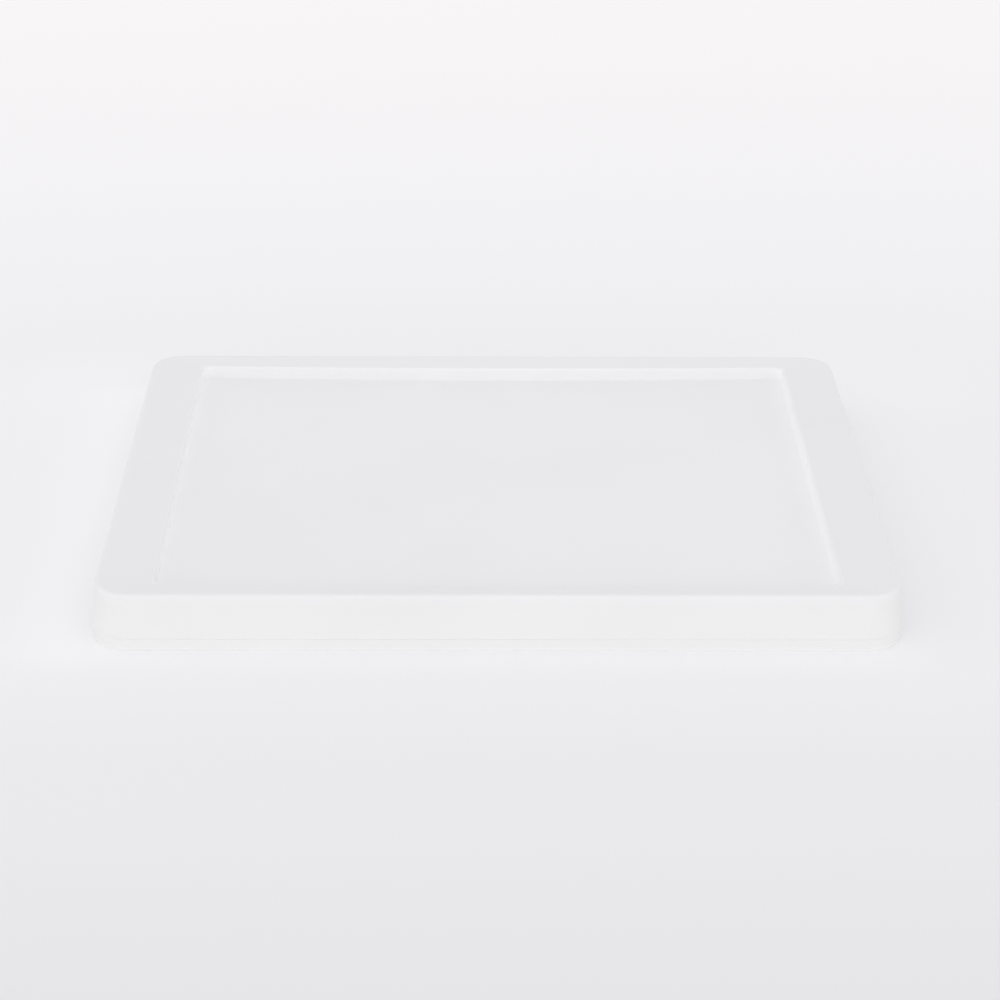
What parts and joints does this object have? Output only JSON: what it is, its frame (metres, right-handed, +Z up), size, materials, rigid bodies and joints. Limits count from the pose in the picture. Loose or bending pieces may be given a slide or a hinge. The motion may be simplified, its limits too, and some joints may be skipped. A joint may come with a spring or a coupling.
{
  "type": "wet palette",
  "caption": "Low rectangular painter's wet palette: a thin-walled translucent tray with a sponge and palette paper inside, closed by an overlapping lid with a recessed top.",
  "frame": {"origin": "middle of the footprint, on the surface that the tray's foot stands on", "axes": "+X along the long side to the right as the picture shows it, +Y towards the back, +Z up through the lid"},
  "size_m": [0.4052, 0.3052, 0.0295],
  "materials": {
    "tray_plastic": "milky translucent natural polypropylene, satin",
    "lid_plastic": "milky translucent natural polypropylene, satin",
    "sponge_foam": "open-celled white cellulose sponge, damp",
    "palette_paper": "thin semi-translucent palette paper, matte"
  },
  "bodies": {
    "tray": {"tray": "tray_plastic"},
    "sponge": {"sponge": "sponge_foam"},
    "palette_paper": {"palette_paper": "palette_paper"},
    "lid": {"lid": "lid_plastic"}
  },
  "joints": [
    {"name": "sponge_lift", "type": "slide", "parent": "tray", "child": "sponge", "axis": [0, 0, 1], "range_m": [0, 0.06]},
    {"name": "paper_lift", "type": "slide", "parent": "sponge", "child": "palette_paper", "axis": [0, 0, 1], "range_m": [0, 0.05]},
    {"name": "lid_lift", "type": "slide", "parent": "palette_paper", "child": "lid", "axis": [0, 0, 1], "range_m": [0, 0.12]}
  ]
}
